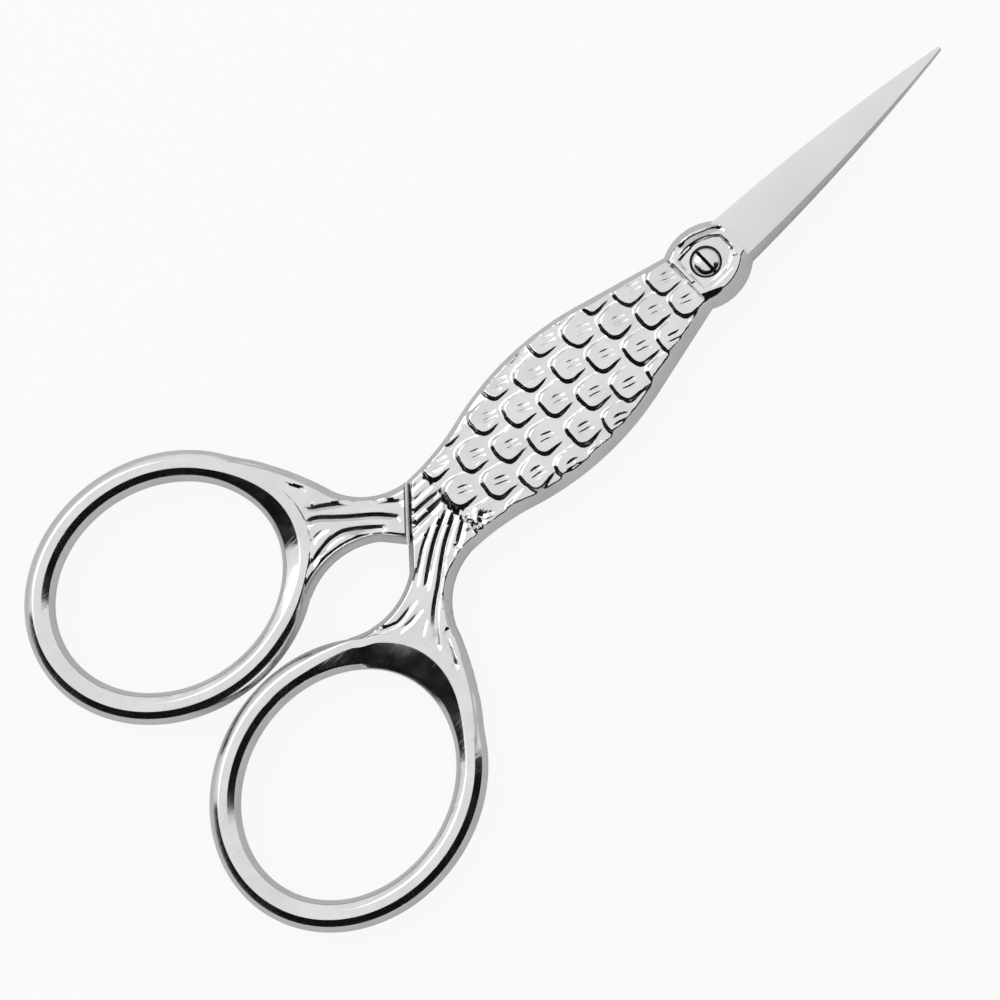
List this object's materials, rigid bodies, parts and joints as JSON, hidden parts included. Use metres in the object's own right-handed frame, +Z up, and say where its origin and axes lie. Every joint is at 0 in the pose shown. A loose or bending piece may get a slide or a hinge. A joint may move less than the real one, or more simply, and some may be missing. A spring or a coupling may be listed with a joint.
{
  "type": "embroidery scissors",
  "caption": "Small needlework scissors with slender pointed blades, a body covered in raised fish scales, ribbed shanks and oval finger rings, held by a slotted screw.",
  "frame": {"origin": "under the middle of the closed scissors' bounding box, on the plane that its lowest scale touches", "axes": "+X runs from the finger rings to the blade points, +Y towards the ring of the half underneath, +Z up out of the screw's head"},
  "size_m": [0.1142, 0.0574, 0.0056],
  "materials": {
    "polished_steel": "polished nickel-bright cast relief, body, shanks and rings",
    "ground_steel": "satin ground steel, blades and screw"
  },
  "bodies": {
    "back": {"back_half": "polished_steel", "pivot_screw": "ground_steel"},
    "front": {"front_half": "polished_steel"}
  },
  "joints": [
    {"name": "pivot", "type": "hinge", "parent": "back", "child": "front", "pos_m": [0.02367, 0, 0.00278], "axis": [0, 0, 1], "range_deg": [0, 90]}
  ]
}
